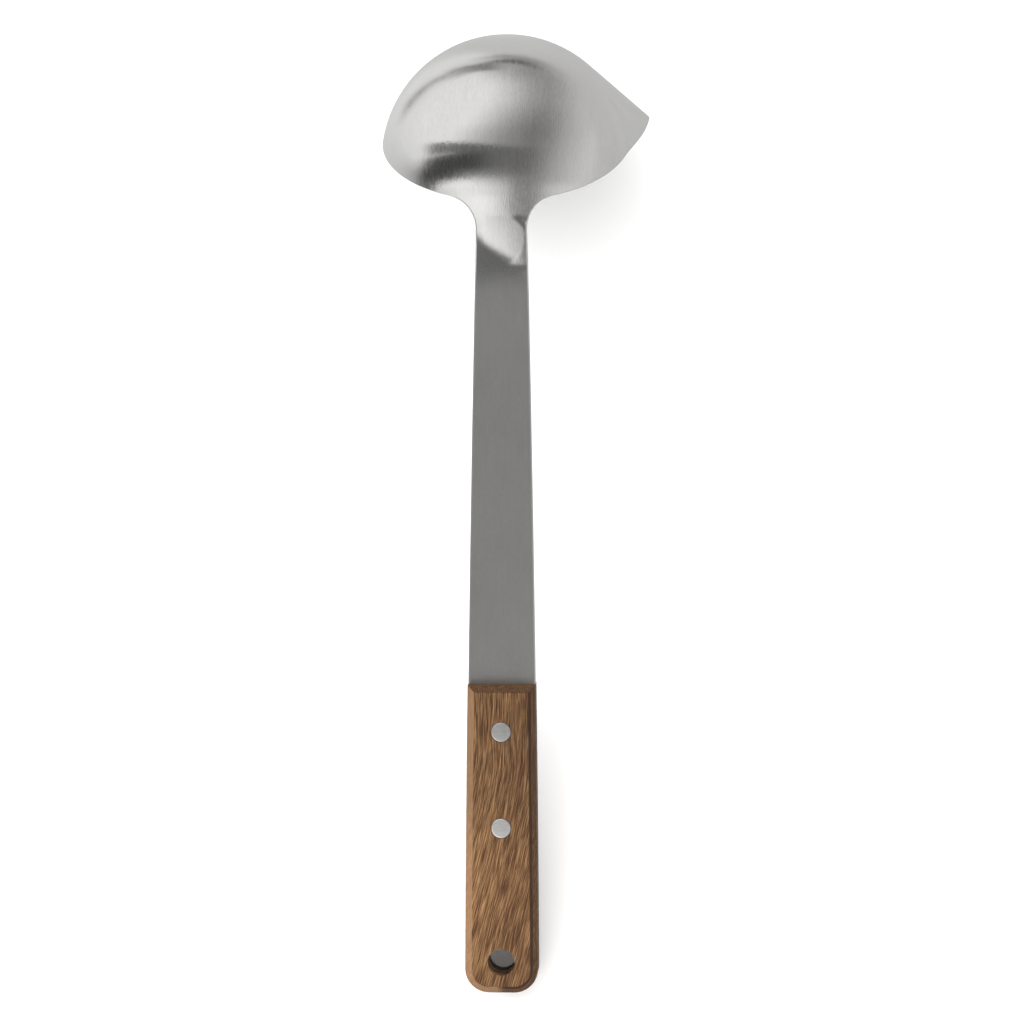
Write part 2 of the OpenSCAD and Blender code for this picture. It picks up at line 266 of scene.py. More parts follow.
# %% The strip's outline on the flat blank
TAPER_L = STRIP_L - (FILLET_V - RIM_R)
FILLET_ROWS, BEND_ROWS, HANDLE_ROWS, CORNER_ROWS = 18, 28, 16, 10
BEND_STEP = 0.65


def half_width(y):
    """Half the strip's width at a distance from its end: the taper is part straight, part bowed."""
    q = y / TAPER_L
    return BUTT_HALF - (BUTT_HALF - NECK_HALF) * (TAPER_SHARE * q + (1 - TAPER_SHARE) * q * q)


def fillet_row(share, inset):
    """Edge and middle of a row in the fillet between the rim and the neck."""
    a = (math.pi / 2 - math.radians(NECK_FROM)) * (1 - share)
    r, start = NECK_FILLET_R + inset, RIM_R - inset
    drop = 1 - math.sin(a) / math.cos(math.radians(NECK_FROM))
    return FILLET_X - r * math.cos(a), FILLET_V - r * math.sin(a), start + (FILLET_V - start) * drop


def side_row(y, inset):
    """Edge and middle of a row along the straight sides."""
    v = RIM_R + STRIP_L - y
    return half_width(y) - inset, v, v


def corner_row(share, inset):
    """Edge of a row in the round corners at the handle's end."""
    r, a = BUTT_CORNER_R - inset, share * math.pi / 2
    v = RIM_R + STRIP_L - BUTT_CORNER_R + r * math.sin(a)
    return half_width(BUTT_CORNER_R) - BUTT_CORNER_R + r * math.cos(a), v, v


BEND_END = TAPER_L - BEND_STEP * BEND_ROWS
ROWS = [(fillet_row, (i / FILLET_ROWS) ** 0.7) for i in range(1, FILLET_ROWS + 1)]
ROWS += [(side_row, TAPER_L - BEND_STEP * i) for i in range(1, BEND_ROWS + 1)]
ROWS += [(side_row, BUTT_CORNER_R + (BEND_END - BUTT_CORNER_R) * i / HANDLE_ROWS)
         for i in range(HANDLE_ROWS - 1, -1, -1)]
ROWS += [(corner_row, i / CORNER_ROWS) for i in range(1, CORNER_ROWS + 1)]
print("rows along the handle:", len(ROWS))


def row_place(sunk, row, across, inset):
    """A point of the strip by its row and its share of the width, from -1 to 1."""
    kind, share = ROWS[row - 1]
    edge_x, edge_v, middle_v = kind(share, inset)
    return strip_place(sunk, edge_x * across, middle_v + (edge_v - middle_v) * across ** 2)


# %% [markdown]
# ## One face of the sheet
# A spoon-maker would call the back and the inside of the bowl the two faces of one sheet. Each
# starts as a quarter profile that is spun round the bowl's axis, as a potter throws a dish. The
# lip is then drawn out, and the edges next to the neck are extruded row by row down the handle.
# The columns are crowded together at the lip, where the edge turns most sharply.

# %% Where the columns are crowded
COLUMNS, RINGS = 240, 44
NECK_COLUMNS, NECK_CROWD = 16, 0.75
EVEN_FROM = 60.0
LIP_CROWD, LIP_SPREAD = 0.72, 18.0


def column_turn(turn):
    """Turns the evenly spun columns: crowded at the lip, and even in width at the neck."""
    turn = (turn + 180) % 360 - 180
    if abs(turn) < EVEN_FROM:
        step = NECK_COLUMNS * 360 / COLUMNS
        share = min(1.0, abs(turn) / step)
        width = math.sin(math.radians(NECK_FROM)) * share ** NECK_CROWD
        outer = abs(turn) + (NECK_FROM - step) * (EVEN_FROM - abs(turn)) / (EVEN_FROM - step)
        return math.copysign(math.degrees(math.asin(width)) if share < 1 else outer, turn)
    off = (turn - LIP_ANGLE + 540) % 360 - 180
    return LIP_ANGLE + off * (1 - LIP_CROWD * math.exp(-(off / LIP_SPREAD) ** 2))


# %% Spin the bowl and draw out its lip
def spin_bowl(bm, sunk):
    """One face of the bowl: a profile spun round the axis, then moved on to the lip's form."""
    rim = math.acos((BALL_DROP + EDGE_BREAK) / (BALL_R - sunk))
    profile = [Vector((0, (BALL_R - sunk) * math.sin(rim * t), (BALL_R - sunk) * math.cos(rim * t)))
               for t in (1 - j / RINGS for j in range(RINGS + 1))]
    verts = [bm.verts.new(p) for p in profile]
    edges = [bm.edges.new(pair) for pair in zip(verts, verts[1:])]
    bmesh.ops.spin(bm, geom=verts + edges, cent=(0, 0, 0), axis=(0, 0, -1), angle=math.tau,
                   steps=COLUMNS, use_merge=True)
    bmesh.ops.remove_doubles(bm, verts=bm.verts, dist=1e-4)
    return rim


def form_bowl(bm, sunk, rim, row, across):
    """Moves the spun vertices on to the bowl's form, and notes the turn of each on it."""
    for v in bm.verts:
        spun = (math.degrees(math.atan2(v.co.x, v.co.y)) + 360) % 360
        t = 1 - math.acos(max(-1, min(1, v.co.z / (BALL_R - sunk)))) / rim
        turn = spun + (((column_turn(spun) - spun + 540) % 360) - 180) * (1 - t * t)
        depth = v.co.z - BALL_DROP
        v[row], v[across] = 0, (turn + 180) % 360 - 180
        v.co = bowl_place(sunk, turn, depth)


# %% Extrude the neck and the handle
def extrude_rows(bm, sunk, row, across):
    """Extrudes the rim's edges at the neck, one row after another, to the handle's end."""
    reach = NECK_FROM + 0.01
    line = [e for e in bm.edges if e.is_boundary
            and all(abs(v[across]) <= reach for v in e.verts)]
    for v in {v for e in line for v in e.verts}:
        v[across] = math.sin(math.radians(v[across])) / math.sin(math.radians(NECK_FROM))
        v[row] = -1
    for number in range(1, len(ROWS) + 1):
        made = bmesh.ops.extrude_edge_only(bm, edges=line)["geom"]
        line = [g for g in made if isinstance(g, bmesh.types.BMEdge)]
        for v in (g for g in made if isinstance(g, bmesh.types.BMVert)):
            v[row] = number
            v.co = row_place(sunk, number, v[across], EDGE_BREAK)


def sheet_face(sunk):
    """One whole face of the sheet, with two layers that keep each vertex's row and place."""
    bm = bmesh.new()
    rim = spin_bowl(bm, sunk)
    row = bm.verts.layers.int.new("row")
    across = bm.verts.layers.float.new("across")
    form_bowl(bm, sunk, rim, row, across)
    extrude_rows(bm, sunk, row, across)
    return bm


# %% [markdown]
# ## The sheet's edge
# A stamped edge is tumbled until it no longer cuts, so it is rounded and catches a thin light.
# The back's border is extruded in short steps round that edge until it meets the other face.
# This keeps the rounding even at the lip's tight tip, where a bevel would run into itself.

# %% Close the sheet round its edge
def edge_steps():
    """Inset and depth under the back of each step round the edge."""
    upper = [(0.33, 0.12), (0.15, 0.30), (0.03, EDGE_BREAK)]
    lower = [(inset, SHEET_T - sunk) for inset, sunk in reversed(upper)]
    return upper + lower


def border_place(v, row, across, inset, sunk):
    """A point of the edge by the place of its vertex along the border."""
    if v[row] > 0:
        return row_place(sunk, v[row], v[across], inset)
    turn = v[across]
    if v[row] < 0:
        turn = math.degrees(math.asin(v[across] * math.sin(math.radians(NECK_FROM))))
    return bowl_place(sunk, turn, inset)


def round_edge(bm):
    """Extrudes the border round the sheet's edge, to the border of the other face."""
    row, across = bm.verts.layers.int["row"], bm.verts.layers.float["across"]
    line = [e for e in bm.edges if e.is_boundary]
    for inset, sunk in edge_steps() + [(EDGE_BREAK, SHEET_T)]:
        made = bmesh.ops.extrude_edge_only(bm, edges=line)["geom"]
        line = [g for g in made if isinstance(g, bmesh.types.BMEdge)]
        for v in (g for g in made if isinstance(g, bmesh.types.BMVert)):
            v.co = border_place(v, row, across, inset, sunk)


def sheet_body():
    """The back with its rounded edge, joined to the inside, as one closed wall."""
    back, inside = sheet_face(0.0), sheet_face(SHEET_T)
    round_edge(back)
    carried = bpy.data.meshes.new("inside")
    inside.to_mesh(carried)
    inside.free()
    back.from_mesh(carried)
    bpy.data.meshes.remove(carried)
    bmesh.ops.remove_doubles(back, verts=back.verts, dist=1e-3)
    bmesh.ops.recalc_face_normals(back, faces=back.faces)
    if back.calc_volume(signed=True) < 0:
        bmesh.ops.reverse_faces(back, faces=back.faces)
    print("open edges:", sum(not e.is_manifold for e in back.edges))
    return back


# %% [markdown]
# ## Drilling
# Holes are drilled after pressing, so they are cut last here too. A Boolean with a plain cutter
# does what the drill does, and leaves a clean wall. Its result is written into the mesh at once,
# so nothing is left live on the finished piece.

# %% A round cutter, and drilling with it
def cutter(bores):
    """Round bars across the handle: each is (place along, radius, from, to)."""
    bm = bmesh.new()
    for y, r, low, high in bores:
        at = Matrix.Translation((0, y, (low + high) / 2))
        bmesh.ops.create_cone(bm, cap_ends=True, cap_tris=False, segments=96, radius1=r,
                              radius2=r, depth=high - low, matrix=at)
    mesh = bpy.data.meshes.new("cutter")
    bm.to_mesh(mesh)
    bm.free()
    return mesh


def drilled(bm, bores):
    """A bmesh with the bores cut out of it by an exact Boolean, one bore after another."""
    for bore in bores:
        blank = bpy.data.meshes.new("undrilled")
        bm.to_mesh(blank)
        bm.free()
        work, drill = (bpy.data.objects.new(name, mesh) for name, mesh in
                       (("work", blank), ("drill", cutter([bore]))))
        for o in (work, drill):
            bpy.context.scene.collection.objects.link(o)
        cut = work.modifiers.new("cut", "BOOLEAN")
        cut.operation, cut.object, cut.solver = "DIFFERENCE", drill, "EXACT"
        made = work.evaluated_get(bpy.context.evaluated_depsgraph_get()).to_mesh()
        bm = bmesh.new()
        bm.from_mesh(made)
        for o in (work, drill):
            mesh = o.data
            bpy.data.objects.remove(o)
            bpy.data.meshes.remove(mesh)
    return bm


# %% [markdown]
# ## Helpers for the finishes
# A finish is a small graph of nodes. A few helpers keep each graph readable. One starts a
# material, one makes a node and wires it, and one does a sum. The others give noise that is
# spread over the piece's own coordinates, a ramp, a soft step and a soft-edged window.

# %% Node helpers
def new_finish(name):
    """An empty material with its shader, and the tree that holds it."""
    finish = bpy.data.materials.new(name)
    finish.use_nodes = True
    tree = finish.node_tree
    return finish, tree, tree.nodes["Principled BSDF"]


def node(tree, kind, inputs=(), **settings):
    """A node with its settings; inputs are values, or the sockets that feed it."""
    made = tree.nodes.new(kind)
    for key, value in settings.items():
        setattr(made, key, value)
    for key, value in dict(inputs).items():
        if isinstance(value, bpy.types.NodeSocket):
            tree.links.new(value, made.inputs[key])
        else:
            made.inputs[key].default_value = value
    return made


def sums(tree, operation, *values, clamp=False):
    """The result of one step of arithmetic."""
    return node(tree, "ShaderNodeMath", dict(enumerate(values)), operation=operation,
                use_clamp=clamp).outputs[0]


# %% Noise, ramps and soft steps
def spread_noise(tree, vector, scale, detail=3.0, rough=0.5, stretch=(1, 1, 1)):
    """Noise on a vector, stretched along its axes."""
    held = node(tree, "ShaderNodeMapping", {"Vector": vector, "Scale": stretch})
    return node(tree, "ShaderNodeTexNoise", {"Vector": held.outputs[0], "Scale": scale,
                                             "Detail": detail, "Roughness": rough}).outputs["Fac"]


def ramp(tree, value, *stops):
    """Colours, or shades of grey, along a value from 0 to 1."""
    made = node(tree, "ShaderNodeValToRGB", {"Fac": value})
    line = made.color_ramp.elements
    while len(line) < len(stops):
        line.new(0.5)
    for element, (at, colour) in zip(line, stops):
        element.position = at
        if not hasattr(colour, "__len__"):
            colour = (colour,) * 3
        element.color = (*colour, 1)
    return made.outputs[0]


def gate(tree, value, low, high, start=0.0, end=1.0):
    """A soft step: from start at low, to end at high."""
    return node(tree, "ShaderNodeMapRange", {"Value": value, "From Min": low, "From Max": high,
                                             "To Min": start, "To Max": end},
                interpolation_type="SMOOTHSTEP").outputs[0]


def window(tree, value, low, high, soft):
    """A soft-edged window between two values."""
    return sums(tree, "MULTIPLY", gate(tree, value, low - soft / 2, low + soft / 2),
                gate(tree, value, high + soft / 2, high - soft / 2))


# %% [markdown]
# ## The brushed steel
# The sheet was brushed with an abrasive belt along the handle. The fine lines smear each
# reflection sideways, so the shader's highlight is stretched across the handle, by a tangent that
# follows the piece's own flat map. Stretched noise gives the lines that can be seen up close. The
# bowl was polished finer than the handle after pressing, so it mirrors more sharply. The change
# lies at the neck and is a soft step in the roughness, with a slightly paler grey on the handle.

# %% Finish of the sheet
BOWL_ENDS, HANDLE_STARTS = 0.080, 0.066
COARSER, PALER = 0.36, 1.2
STEEL_TONES = ((0.30, (0.545, 0.54, 0.53)), (0.50, (0.60, 0.597, 0.588)),
               (0.70, (0.645, 0.643, 0.635)))


def brushed_steel():
    finish, tree, shader = new_finish("brushed_sheet")
    own = node(tree, "ShaderNodeTexCoord").outputs["Object"]
    fine = spread_noise(tree, own, 1.0, 2.0, 0.6, (2600, 520, 520))
    broad = spread_noise(tree, own, 1.0, 3.0, 0.55, (700, 90, 90))
    cloud = spread_noise(tree, own, 28.0, 4.0, 0.6)
    lines = sums(tree, "MULTIPLY_ADD", fine, 0.65, sums(tree, "MULTIPLY", broad, 0.35))
    tone = sums(tree, "MULTIPLY_ADD", cloud, 0.35, sums(tree, "MULTIPLY", lines, 0.65))
    colour = ramp(tree, tone, *STEEL_TONES)
    along = node(tree, "ShaderNodeSeparateXYZ", {"Vector": own}).outputs["Y"]
    rough = node(tree, "ShaderNodeMapRange", {"Value": lines, "From Min": 0.25, "From Max": 0.75,
                                              "To Min": 0.13, "To Max": 0.22}).outputs[0]
    rough = sums(tree, "ADD", rough, gate(tree, along, BOWL_ENDS, HANDLE_STARTS, 0.0, COARSER))
    paler = gate(tree, along, BOWL_ENDS, HANDLE_STARTS, 1.0, PALER)
    colour = node(tree, "ShaderNodeVectorMath", {0: colour, "Scale": paler}, operation="SCALE")
    bump = node(tree, "ShaderNodeBump", {"Height": lines, "Strength": 0.42, "Distance": 0.0001})
    across = node(tree, "ShaderNodeTangent", direction_type="UV_MAP", uv_map="flat_map")
    for key, value in (("Base Color", colour.outputs[0]), ("Roughness", rough),
                       ("Normal", bump.outputs[0]), ("Tangent", across.outputs[0])):
        tree.links.new(value, shader.inputs[key])
    shader.inputs["Metallic"].default_value = 1.0
    shader.inputs["Anisotropic"].default_value = 0.88
    return finish


STEEL = brushed_steel()
print("finish", STEEL.name, "nodes", len(STEEL.node_tree.nodes))

# %% [markdown]
# ## The stamped sheet
# Now the two faces, the edge and the drilled holes come together. The flat map that the finish
# needs is simply each vertex's place seen from above, because the belt ran along the handle.

# %% Make the sheet
BORE_GAP, SEAT_GAP = 0.03, 0.1
TANG_BORES = [(y, BARREL_R + BORE_GAP, -SHEET_T, SHEET_T) for y in RIVETS_AT.values()]
TANG_BORES.append((HOLE_AT, HOLE_R, -SHEET_T, SHEET_T))
MAP_SPAN = 100.0
body = drilled(sheet_body(), TANG_BORES)
flat_map = body.loops.layers.uv.new("flat_map")
for face in body.faces:
    for loop in face.loops:
        loop[flat_map].uv = (loop.vert.co.x / MAP_SPAN, loop.vert.co.y / MAP_SPAN)
sheet = finished(body, "stamped_sheet", STEEL)
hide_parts("ladle_blank")

# %% [markdown]
# ## The oiled wood
# The grip is an open-pored brown hardwood, sawn so that the grain runs almost straight at the
# front and leans over towards the end. The pores are short dark dashes along the grain. All
# patterns use one place that is turned into the handle's plane and slid sideways along the grain.

# %% The place on the grip, and its grain
PORE_BROWN = (0.030, 0.013, 0.006)
WOOD_TONES = ((0.39, (0.066, 0.028, 0.010)), (0.47, (0.137, 0.065, 0.025)),
              (0.53, (0.200, 0.101, 0.041)), (0.61, (0.310, 0.175, 0.082)))
LEAN_ENDS, LEAN_SOFT, GRAIN_LEAN, GRAIN_WANDER = 0.072, 0.04, -0.26, 0.005


def stained_or_painted(tree, colour, amount, stain_or_light):
    """A colour with some of a plain colour laid over it: a stain, or painted light or shade."""
    mixed = node(tree, "ShaderNodeMix", {"Factor": amount}, data_type="RGBA")
    tree.links.new(colour, mixed.inputs["A"])
    mixed.inputs["B"].default_value = (*stain_or_light, 1)
    return mixed.outputs["Result"]


def grip_places(tree):
    """The place in the handle's plane, in metres, and the same place slid along the grain."""
    own = node(tree, "ShaderNodeTexCoord").outputs["Object"]
    flat = node(tree, "ShaderNodeMapping", {
        "Vector": own, "Rotation": (-REST_ANGLE, 0, 0),
        "Location": Matrix.Rotation(-REST_ANGLE, 3, "X") @ REST_SHIFT * -0.001}).outputs[0]
    place = node(tree, "ShaderNodeSeparateXYZ", {"Vector": flat}).outputs
    low = sums(tree, "SMOOTH_MIN", place["Y"], LEAN_ENDS, LEAN_SOFT)
    wander = spread_noise(tree, flat, 14.0, 2.0, 0.5)
    slide = sums(tree, "MULTIPLY_ADD", low, GRAIN_LEAN, place["X"])
    slide = sums(tree, "MULTIPLY_ADD", wander, GRAIN_WANDER, slide)
    grain = node(tree, "ShaderNodeCombineXYZ", {"X": slide, "Y": place["Y"], "Z": place["Z"]})
    return place, grain.outputs[0]


# %% [markdown]
# ## Painted light and shade on the edges of the wood
# The chamfers of a grip don't look like its top. The left one is painted pale, as painted light and
# sheen, and the right one is painted dark, as painted shade, with a thin darker painted shade in
# the crease where it meets the top. The front one, at the neck end, is darker. The chamfers are the
# only places between two heights over the handle's plane, so the height finds them. They keep crisp
# edges this way, and their corners come out mitred.

# %% Painted light and shade on the chamfers
RIM_UNDER, RIM_FULL, CREASE_FROM = 0.00778, 0.00766, 0.00705
MITRE_FROM, MITRE_TO = -0.0917, -0.0920
# Painted light and sheen on the left chamfer, painted shade on the right one and in its crease, and
# a darker front one.
LEFT_PAINTED_LIGHT = (0.65, (0.300, 0.172, 0.090))
RIGHT_PAINTED_SHADE = (0.70, (0.056, 0.026, 0.011))
FRONT_DARKER = (0.65, (0.058, 0.026, 0.010))
CREASE_PAINTED_SHADE = (0.65, (0.020, 0.006, 0.004))


def painted_chamfer_light(tree, colour, place):
    """The wood's colour with painted light on the left chamfer, painted shade on the right one and
    its crease, and a darker front one.
    """
    raised = sums(tree, "ABSOLUTE", place["Z"])
    rim = gate(tree, raised, RIM_UNDER, RIM_FULL)
    crease = window(tree, raised, CREASE_FROM, RIM_UNDER, 0.0001)
    inward = sums(tree, "SUBTRACT", sums(tree, "ABSOLUTE", place["X"]), place["Y"])
    front = gate(tree, inward, MITRE_FROM, MITRE_TO)
    side = sums(tree, "SUBTRACT", 1, front)
    left = sums(tree, "MULTIPLY", side, gate(tree, place["X"], 0.002, -0.002))
    right = sums(tree, "MULTIPLY", side, gate(tree, place["X"], -0.002, 0.002))
    # Lay on the painted light of the left chamfer, the painted shade of the right one and its
    # crease, and the darker front.
    for height, where, (share, stain_or_light) in ((rim, left, LEFT_PAINTED_LIGHT), (rim, right, RIGHT_PAINTED_SHADE),
                                          (rim, front, FRONT_DARKER), (crease, right, CREASE_PAINTED_SHADE)):
        amount = sums(tree, "MULTIPLY", sums(tree, "MULTIPLY", height, where), share)
        colour = stained_or_painted(tree, colour, amount, stain_or_light)
    return colour


# %% Finish of the wood
def oiled_wood():
    finish, tree, shader = new_finish("grip_wood")
    place, grain = grip_places(tree)
    bands = spread_noise(tree, grain, 1.0, 4.0, 0.6, (520, 14, 200))
    fibres = spread_noise(tree, grain, 1.0, 2.0, 0.6, (4200, 120, 1900))
    pores = spread_noise(tree, grain, 1.0, 2.0, 0.5, (3600, 150, 1900))
    tone = sums(tree, "MULTIPLY_ADD", fibres, 0.80, sums(tree, "MULTIPLY", bands, 0.20))
    pore = ramp(tree, pores, (0.38, 1.0), (0.46, 0.0))
    colour = ramp(tree, tone, *WOOD_TONES)
    colour = stained_or_painted(tree, colour, sums(tree, "MULTIPLY", pore, 0.55), PORE_BROWN)
    colour = painted_chamfer_light(tree, colour, place)
    # The colour so far holds the chamfers' painted light and shade. The grip is a little darker
    # towards its neck end.
    darker = gate(tree, place["Y"], 0.042, 0.072, 1.0, 0.82)
    wood_with_painted_light = node(tree, "ShaderNodeVectorMath", {0: colour, "Scale": darker}, operation="SCALE")
    height = sums(tree, "MULTIPLY_ADD", pore, -1.0, sums(tree, "MULTIPLY", fibres, 0.4))
    bump = node(tree, "ShaderNodeBump", {"Height": height, "Strength": 0.35, "Distance": 0.0002})
    rough = node(tree, "ShaderNodeMapRange", {"Value": tone, "From Min": 0.3, "From Max": 0.7,
                                              "To Min": 0.62, "To Max": 0.48}).outputs[0]
    for key, value in (("Base Color", wood_with_painted_light.outputs[0]), ("Roughness", rough),
                       ("Normal", bump.outputs[0])):
        tree.links.new(value, shader.inputs[key])
    shader.inputs["Specular IOR Level"].default_value = 0.22
    return finish


WOOD = oiled_wood()
print("finish", WOOD.name, "nodes", len(WOOD.node_tree.nodes))

# %% [markdown]
# ## The wooden scales
# Each scale is a flat strip of wood, cut to the sheet's outline and chamfered all round its outer
# face. So it starts as a grid that is fitted to the tapering outline. Its two end corners are
# rounded, the strip is extruded to its thickness, and the outer edge is bevelled twice: once for
# the chamfer, and once to take the sharpness off, as sandpaper does.

# %% One scale, before drilling
SANDED_R = 0.35


def scale_body():
    """A scale on z = 0 with its outer face up, before drilling."""
    bm = bmesh.new()
    bmesh.ops.create_grid(bm, x_segments=1, y_segments=10, size=0.5)
    for v in bm.verts:
        y = (v.co.y + 0.5) * SCALE_L
        v.co = Vector((math.copysign(half_width(y), v.co.x), y, 0))
    ends = [v for v in bm.verts if v.co.y < 0.01]
    bmesh.ops.bevel(bm, geom=ends, offset=BUTT_CORNER_R, offset_type="OFFSET", affect="VERTICES",
                    segments=12, profile=0.5, material=-1)
    raised = bmesh.ops.extrude_face_region(bm, geom=list(bm.faces))["geom"]
    bmesh.ops.translate(bm, verts=[g for g in raised if isinstance(g, bmesh.types.BMVert)],
                        vec=(0, 0, SCALE_T))
    bmesh.ops.recalc_face_normals(bm, faces=bm.faces)
    for offset, segments, least in ((SCALE_CHAMFER, 1, 80), (SANDED_R, 3, 30)):
        top = [e for e in bm.edges if min(v.co.z for v in e.verts) > 1
               and len(e.link_faces) == 2 and math.degrees(e.calc_face_angle()) > least]
        bmesh.ops.bevel(bm, geom=top, offset=offset, offset_type="OFFSET", affect="EDGES",
                        segments=segments, profile=0.5, material=-1)
    return bm


# %% Make the two scales
SCALE_BORES = [(y, BARREL_R + BORE_GAP, -1, SCALE_T + 1) for y in RIVETS_AT.values()]
SCALE_BORES += [(y, HEAD_R + SEAT_GAP, SCALE_T - HEAD_T, SCALE_T + 1) for y in RIVETS_AT.values()]
SCALE_BORES.append((HOLE_AT, HOLE_R, -1, SCALE_T + 1))
for name, side in (("back", 1), ("front", -1)):
    wood = drilled(scale_body(), SCALE_BORES)
    bmesh.ops.translate(wood, verts=wood.verts, vec=(0, 0, SHEET_T / 2))
    if side < 0:
        bmesh.ops.scale(wood, verts=wood.verts, vec=(1, 1, -1))
        bmesh.ops.reverse_faces(wood, faces=wood.faces)
    piece = finished(wood, name + "_wood_scale", WOOD, sharp=30.0)
    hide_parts(name + "_scale")

# %% [markdown]
# ## The rivets
# The grip is held by two cutlery rivets. Each is a pin that is driven into a hollow socket, and
# both have a flat head that is ground flush with the wood. The heads' faces are satin, with a
# slightly rounded edge that gives the thin dark line round each of them. The pair nearer the
# hanging hole is brighter, which is a soft step in the colour between the pairs.

# %% Finish of the rivets
# The pair nearer the hanging hole is brighter, and the pair at the neck end a little darker.
HOLE_PAIR_TONE, NECK_PAIR_TONE = 1.22, 0.95


def satin_metal():
    finish, tree, shader = new_finish("rivet_metal")
    own = node(tree, "ShaderNodeTexCoord").outputs["Object"]
    lines = spread_noise(tree, own, 1.0, 3.0, 0.6, (900, 5200, 900))
    spots = spread_noise(tree, own, 420.0, 3.0, 0.6)
    tone = sums(tree, "MULTIPLY_ADD", lines, 0.6, sums(tree, "MULTIPLY", spots, 0.4))
    colour = ramp(tree, tone, (0.3, (0.70, 0.695, 0.69)), (0.7, (0.86, 0.855, 0.85)))
    along = node(tree, "ShaderNodeSeparateXYZ", {"Vector": own}).outputs["Y"]
    shade = gate(tree, along, -0.095, -0.085, HOLE_PAIR_TONE, NECK_PAIR_TONE)
    colour = node(tree, "ShaderNodeVectorMath", {0: colour, "Scale": shade}, operation="SCALE")
    rough = node(tree, "ShaderNodeMapRange", {"Value": lines, "From Min": 0.3, "From Max": 0.7,
                                              "To Min": 0.38, "To Max": 0.52}).outputs[0]
    bump = node(tree, "ShaderNodeBump", {"Height": lines, "Strength": 0.12, "Distance": 0.0001})
    for key, value in (("Base Color", colour.outputs[0]), ("Roughness", rough),
                       ("Normal", bump.outputs[0])):
        tree.links.new(value, shader.inputs[key])
    shader.inputs["Metallic"].default_value = 1.0
    return finish


RIVET = satin_metal()
print("finish", RIVET.name, "nodes", len(RIVET.node_tree.nodes))


# %% Turn the pins and the sockets
def turned_part(profile):
    """A round part whose half profile, from axis to axis, is spun about the axis."""
    bm = bmesh.new()
    verts = [bm.verts.new((r, 0, z)) for r, z in profile]
    edges = [bm.edges.new(pair) for pair in zip(verts, verts[1:])]
    bmesh.ops.spin(bm, geom=verts + edges, cent=(0, 0, 0), axis=(0, 0, 1), angle=math.tau,
                   steps=64, use_merge=True)
    bmesh.ops.remove_doubles(bm, verts=bm.verts, dist=1e-4)
    bmesh.ops.recalc_face_normals(bm, faces=bm.faces)
    return bm


HEAD = [(0, 0), (HEAD_R - 0.55, 0), (HEAD_R - 0.2, -0.04), (HEAD_R - 0.06, -0.12),
        (HEAD_R, -0.28), (HEAD_R, -HEAD_T)]
PIN_END, SOCKET_END = -(GRIP_T - HEAD_T - 1), -(GRIP_T - HEAD_T - 2.5)
PIN = HEAD + [(PIN_R, -HEAD_T), (PIN_R, PIN_END + 0.3), (PIN_R - 0.3, PIN_END), (0, PIN_END)]
SOCKET = HEAD + [(BARREL_R, -HEAD_T), (BARREL_R, SOCKET_END + 0.2), (BARREL_R - 0.2, SOCKET_END),
                 (PIN_R + BORE_GAP, SOCKET_END), (PIN_R + BORE_GAP, -HEAD_T), (0, -HEAD_T)]
for name, y in RIVETS_AT.items():
    for part, profile, side in (("pin", PIN, 1), ("socket", SOCKET, -1)):
        metal = turned_part(profile)
        bmesh.ops.translate(metal, verts=metal.verts, vec=(0, y, GRIP_T / 2))
        if side < 0:
            bmesh.ops.scale(metal, verts=metal.verts, vec=(1, 1, -1))
            bmesh.ops.reverse_faces(metal, faces=metal.faces)
        piece = finished(metal, name + "_turned_" + part, RIVET)
        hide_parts(name + "_rivet_" + part)

# %% [markdown]
# ## The table
# The photograph was taken on a plain white table that is lit almost to paper white. The floor is
# a large matt sheet, with a trace of tone in it so that it isn't a single flat colour. The bowl
# mirrors the table too, with whatever stands round it. So the sheet has a second, darker tone
# that only light paths other than the camera's meet, a painted reflection for the steel: half as
# bright, brighter at the left by the bowl's end and a little darker to the right, with a stripe,
# its tail and a far part painted dark in place of things beyond the table.

# %% The painted tone that the steel mirrors
STRIPE_SHARE, FAR_SHARE, DARKEST = 0.8, 0.52, 0.92


def painted_reflection_tone(tree, place):
    """The table's painted brightness as the steel mirrors it, by the place on it in metres."""
    x, y = place["X"], place["Y"]
    left = gate(tree, x, -0.03, -0.08)
    dim_left = sums(tree, "MULTIPLY", left, gate(tree, y, 0.06, 0.18, -0.09, 0.18))
    dimmed = sums(tree, "ADD", gate(tree, x, 0.0, 0.15, 0.50, 0.47), dim_left)
    # The stripe, its tail and the far part are painted dark, for the bowl to mirror as dark arcs.
    stripe = sums(tree, "MULTIPLY_ADD", x, -0.910, sums(tree, "MULTIPLY", y, -0.415))
    length = sums(tree, "MULTIPLY", window(tree, y, 0.18, 0.46, 0.06), STRIPE_SHARE)
    stripe = sums(tree, "MULTIPLY", window(tree, stripe, 0.019, 0.051, 0.014), length)
    tail = sums(tree, "MULTIPLY_ADD", y, -0.29, sums(tree, "MULTIPLY", x, -1))
    tail = sums(tree, "MULTIPLY", window(tree, tail, 0.072, 0.166, 0.025),
                gate(tree, y, 0.40, 0.48))
    far = sums(tree, "MULTIPLY", gate(tree, y, 0.40, 0.60), window(tree, x, -0.15, 0.35, 0.2))
    dark = sums(tree, "MAXIMUM", sums(tree, "MAXIMUM", stripe, tail),
                sums(tree, "MULTIPLY", far, FAR_SHARE))
    return sums(tree, "MULTIPLY", dimmed, sums(tree, "MULTIPLY_ADD", dark, -DARKEST, 1))


# %% Make the floor
TABLE_HALF = 2.0


